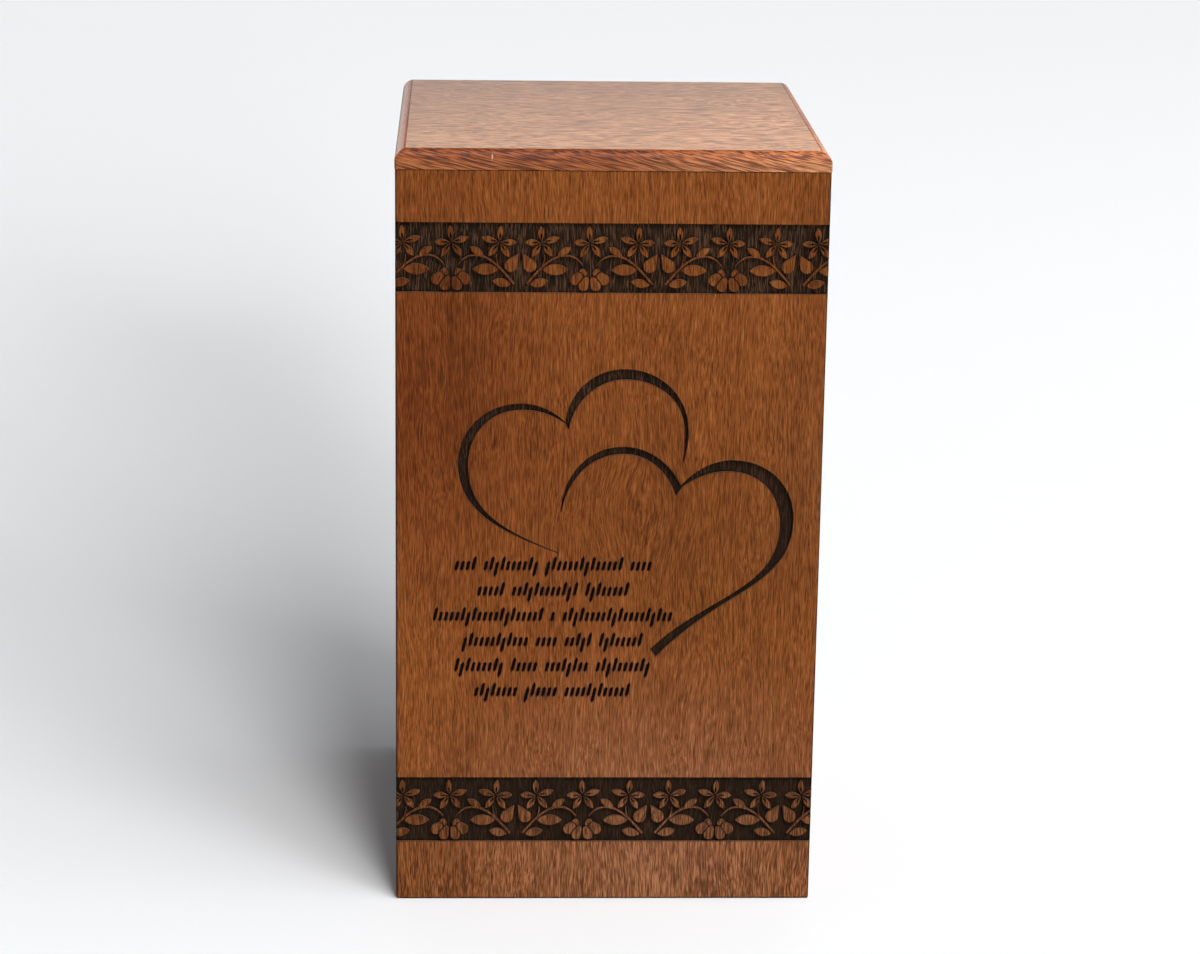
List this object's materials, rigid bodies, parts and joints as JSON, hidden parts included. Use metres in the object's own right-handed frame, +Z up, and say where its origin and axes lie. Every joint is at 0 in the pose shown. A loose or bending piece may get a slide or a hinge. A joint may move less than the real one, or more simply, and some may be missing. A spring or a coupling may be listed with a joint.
{
  "type": "cremation urn box",
  "caption": "Upright wooden box urn with a lift-off lid, a hollow inside, carved leaf-and-flower bands and interlocked hearts on the front.",
  "frame": {"origin": "on the ground at the middle of the box", "axes": "+Z up, the height; the carved front faces -Y; +X to the right as seen from the front"},
  "size_m": [0.1528, 0.1656, 0.2794],
  "materials": {
    "lid_wood": "satin varnished hardwood, fine grain along the width",
    "front_wood": "satin varnished reddish brown hardwood, upright grain, carving burnt dark",
    "panel_wood": "satin varnished reddish brown hardwood, upright grain",
    "base_wood": "plain sanded hardwood"
  },
  "bodies": {
    "root": {"lid": "lid_wood", "front_panel": "front_wood", "back_panel": "panel_wood", "left_panel": "panel_wood", "right_panel": "panel_wood", "base_panel": "base_wood"}
  },
  "joints": []
}
